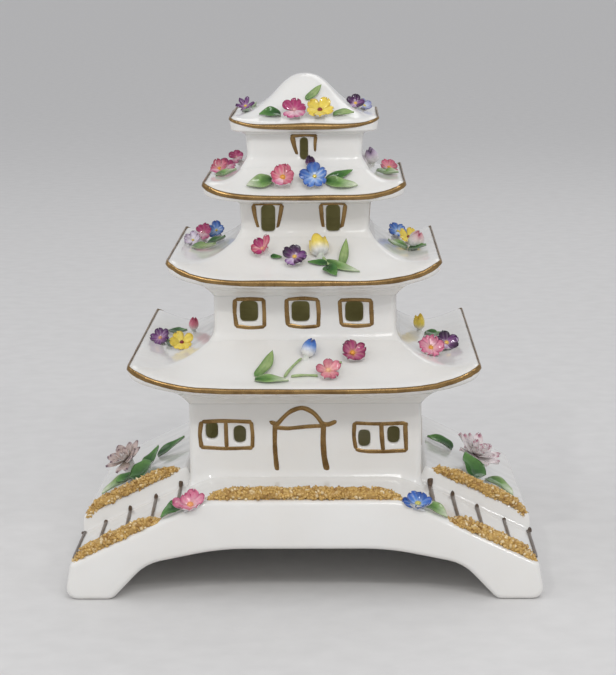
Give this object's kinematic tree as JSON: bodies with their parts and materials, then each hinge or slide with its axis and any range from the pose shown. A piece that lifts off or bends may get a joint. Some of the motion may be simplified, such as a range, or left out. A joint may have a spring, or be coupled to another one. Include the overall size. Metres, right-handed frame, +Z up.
{
  "type": "pastille burner",
  "caption": "Hollow tiered pagoda house on a humped bridge base that burns an incense pastille inside and lets the smoke out through its pierced windows.",
  "frame": {"origin": "middle of the footprint, on the surface that the feet stand on", "axes": "+Z up, -Y towards the front with the painted doorway, +X to the viewer's right"},
  "size_m": [0.1308, 0.121, 0.14],
  "materials": {
    "glazed_china": "glossy glazed white bone china with gilt lines and painted brown steps",
    "glazed_dish": "glossy glazed white bone china, plain",
    "incense": "pressed charcoal incense, dry and matt",
    "gilded_grit": "rough crust of small china crumbs washed with ochre and gilt",
    "green_enamel": "glossy green enamel over china leaves, pale to dark",
    "white_crimson_enamel": "white china petals with crimson and purple enamel tips",
    "blue_enamel": "glossy blue enamel petals with a yellow eye",
    "yellow_enamel": "glossy yellow enamel petals with a dark eye",
    "salmon_enamel": "glossy salmon enamel petals with a yellow eye",
    "crimson_enamel": "glossy crimson enamel petals with a yellow eye",
    "purple_enamel": "glossy purple enamel petals with an orange eye",
    "pink_enamel": "glossy pink enamel petals with an orange eye"
  },
  "bodies": {
    "root": {"bridge": "glazed_china", "bridge_blue_flower": "blue_enamel", "bridge_flower_leaves": "green_enamel", "bridge_pink_flower": "pink_enamel", "domed_top_roof": "glazed_china", "garden_left_chrysanthemum": "white_crimson_enamel", "garden_left_leaves": "green_enamel", "garden_right_chrysanthemum": "white_crimson_enamel", "garden_right_leaves": "green_enamel", "grit_bed_left": "gilded_grit", "grit_bed_right": "gilded_grit", "grit_front_centre": "gilded_grit", "grit_front_left": "gilded_grit", "grit_front_right": "gilded_grit", "roof_1_front_blue_tulip": "blue_enamel", "roof_1_front_crimson_pansy": "crimson_enamel", "roof_1_front_leaves": "green_enamel", "roof_1_front_salmon_flower": "salmon_enamel", "roof_1_left_leaves": "green_enamel", "roof_1_left_pink_bud": "pink_enamel", "roof_1_left_purple_flower": "purple_enamel", "roof_1_left_yellow_flower": "yellow_enamel", "roof_1_right_leaves": "green_enamel", "roof_1_right_pink_flower": "pink_enamel", "roof_1_right_purple_flower": "purple_enamel", "roof_1_right_yellow_tulip": "yellow_enamel", "roof_2_front_leaves": "green_enamel", "roof_2_front_pink_flower": "pink_enamel", "roof_2_front_purple_pansy": "purple_enamel", "roof_2_front_yellow_tulip": "yellow_enamel", "roof_2_left_blue_flower": "blue_enamel", "roof_2_left_leaves": "green_enamel", "roof_2_left_lilac_flower": "purple_enamel", "roof_2_left_pink_flower": "pink_enamel", "roof_2_right_blue_flower": "blue_enamel", "roof_2_right_leaves": "green_enamel", "roof_2_right_tulip": "purple_enamel", "roof_2_right_yellow_flower": "yellow_enamel", "roof_3_front_blue_flower": "blue_enamel", "roof_3_front_dark_bud": "purple_enamel", "roof_3_front_leaves": "green_enamel", "roof_3_front_pink_flower": "pink_enamel", "roof_3_left_leaves": "green_enamel", "roof_3_left_pink_flowers": "pink_enamel", "roof_3_right_leaves": "green_enamel", "roof_3_right_pink_flower": "pink_enamel", "roof_3_right_tulip": "purple_enamel", "roof_4_front_crimson_flower": "crimson_enamel", "roof_4_front_yellow_flower": "yellow_enamel", "roof_4_leaves": "green_enamel", "roof_4_side_flowers": "purple_enamel", "storey_1_roof": "glazed_china", "storey_1_walls": "glazed_china", "storey_2_roof": "glazed_china", "storey_2_walls": "glazed_china", "storey_3_roof": "glazed_china", "storey_3_walls": "glazed_china", "storey_4_walls": "glazed_china"},
    "pastille_dish": {"pastille_dish": "glazed_dish"},
    "incense_pastille": {"incense_pastille": "incense"}
  },
  "joints": [
    {"name": "dish_slide", "type": "slide", "parent": "root", "child": "pastille_dish", "axis": [0, 1, 0], "range_m": [0, 0.048]},
    {"name": "pastille_lift", "type": "slide", "parent": "pastille_dish", "child": "incense_pastille", "axis": [0, 0, 1], "range_m": [0, 0.008]}
  ]
}
